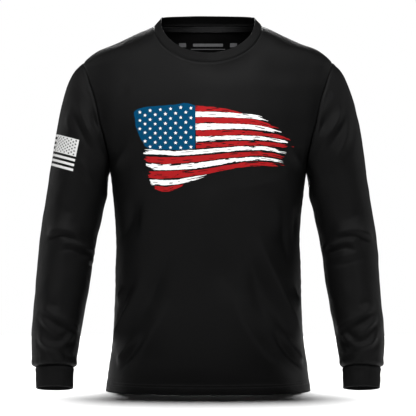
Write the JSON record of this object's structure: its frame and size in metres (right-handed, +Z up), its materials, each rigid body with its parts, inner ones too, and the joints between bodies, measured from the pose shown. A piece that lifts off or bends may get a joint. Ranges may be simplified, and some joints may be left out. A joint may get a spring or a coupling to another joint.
{
  "type": "long-sleeve t-shirt",
  "caption": "Hollow crew-neck top with long sleeves, rib neckband and cuffs, standing open on its hem as if worn, with a tattered flag motif on the chest.",
  "frame": {"origin": "on the surface that the hem rests on, under the centre of the bounding box", "axes": "+Z up from hem to neck, +X to the wearer's left, the wearer faces -Y"},
  "size_m": [0.6962, 0.2516, 0.753],
  "materials": {
    "jersey": "matt black cotton jersey",
    "rib": "matt black ribbed cotton",
    "tape": "dark herringbone cotton tape"
  },
  "bodies": {
    "root": {"front_panel": "jersey", "back_panel": "jersey", "sleeve_left": "jersey", "sleeve_right": "jersey", "cuff_left": "rib", "cuff_right": "rib", "neckband": "rib", "neck_tape": "tape"}
  },
  "joints": []
}
